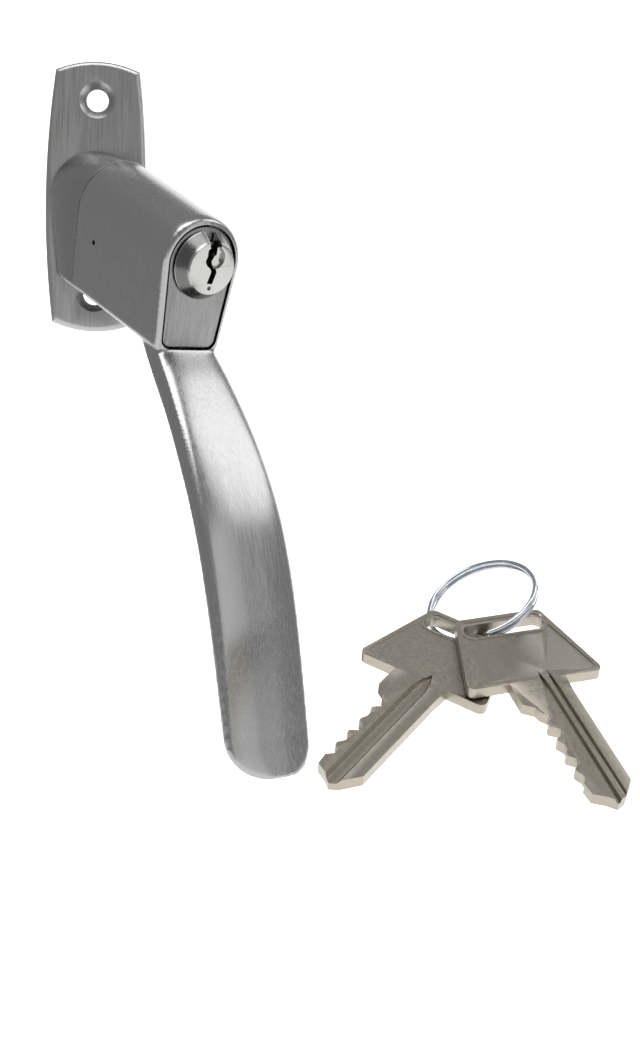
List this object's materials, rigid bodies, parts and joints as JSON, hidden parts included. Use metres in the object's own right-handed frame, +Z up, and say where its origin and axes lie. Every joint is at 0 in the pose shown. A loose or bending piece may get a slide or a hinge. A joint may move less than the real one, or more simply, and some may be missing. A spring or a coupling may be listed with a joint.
{
  "type": "keyed window lock",
  "caption": "Keyed lever lock for a window: screwed plate, cranked head with a key cylinder, swept grip, and two cut keys on a split ring.",
  "frame": {"origin": "centre of the base plate's back face, on the spindle axis", "axes": "+Z up along the base plate's length, +Y into the window frame along the spindle, +X to the right seen from the front"},
  "size_m": [0.1239, 0.1547, 0.1649],
  "materials": {
    "satin_steel": "satin",
    "dark_steel": "matte",
    "nickel_silver": "satin",
    "brass": "satin",
    "spring_steel": "gloss",
    "glide": "matte"
  },
  "bodies": {
    "base": {"base_plate": "satin_steel", "bearing_bush": "brass"},
    "handle": {"rear_collar": "satin_steel", "handle_body": "satin_steel", "spindle": "dark_steel", "spindle_clip": "spring_steel", "glide_washer": "glide", "collar_screw_1": "dark_steel", "collar_screw_2": "dark_steel", "detent_ball_1": "spring_steel", "detent_ball_2": "spring_steel", "detent_spring_1": "spring_steel", "detent_spring_2": "spring_steel", "cylinder_body": "satin_steel", "cylinder_pin": "dark_steel", "chamber_strip": "brass", "driver_pin_1": "brass", "driver_pin_2": "brass", "driver_pin_3": "brass", "driver_pin_4": "brass", "driver_pin_5": "brass", "pin_spring_1": "spring_steel", "pin_spring_2": "spring_steel", "pin_spring_3": "spring_steel", "pin_spring_4": "spring_steel", "pin_spring_5": "spring_steel"},
    "plug": {"lock_plug": "satin_steel", "plug_cam": "dark_steel", "plug_clip": "spring_steel", "key_pin_1": "brass", "key_pin_2": "brass", "key_pin_3": "brass", "key_pin_4": "brass", "key_pin_5": "brass"},
    "bolt": {"locking_bolt": "dark_steel"},
    "key_one": {"key_one": "nickel_silver"},
    "ring": {"split_ring": "spring_steel"},
    "key_two": {"key_two": "nickel_silver"}
  },
  "joints": [
    {"name": "handle_turn", "type": "hinge", "parent": "base", "child": "handle", "pos_m": [0, 0, 0], "axis": [0, 1, 0], "range_deg": [0, 90]},
    {"name": "plug_turn", "type": "hinge", "parent": "handle", "child": "plug", "pos_m": [0.02712, -0.04253, -0.01664], "axis": [0.5518, -0.7939, -0.2554], "range_deg": [0, 90]},
    {"name": "bolt_slide", "type": "slide", "parent": "handle", "child": "bolt", "axis": [0, 1, 0], "range_m": [0, 0.004]},
    {"name": "keys_lift", "type": "slide", "parent": "base", "child": "key_one", "axis": [0, -0.4695, 0.8829], "range_m": [0, 0.03]},
    {"name": "ring_swing", "type": "hinge", "parent": "key_one", "child": "ring", "pos_m": [0.083, -0.08878, -0.09417], "axis": [0, -0.4695, 0.8829], "range_deg": [-1, 1]},
    {"name": "key_two_swing", "type": "hinge", "parent": "ring", "child": "key_two", "pos_m": [0.0965, -0.09125, -0.09378], "axis": [0, -0.4695, 0.8829], "range_deg": [-3, 1]}
  ],
  "couplings": [
    {"joint": "bolt_slide", "follows": "plug_turn", "m_per_rad": 0.0025465}
  ]
}
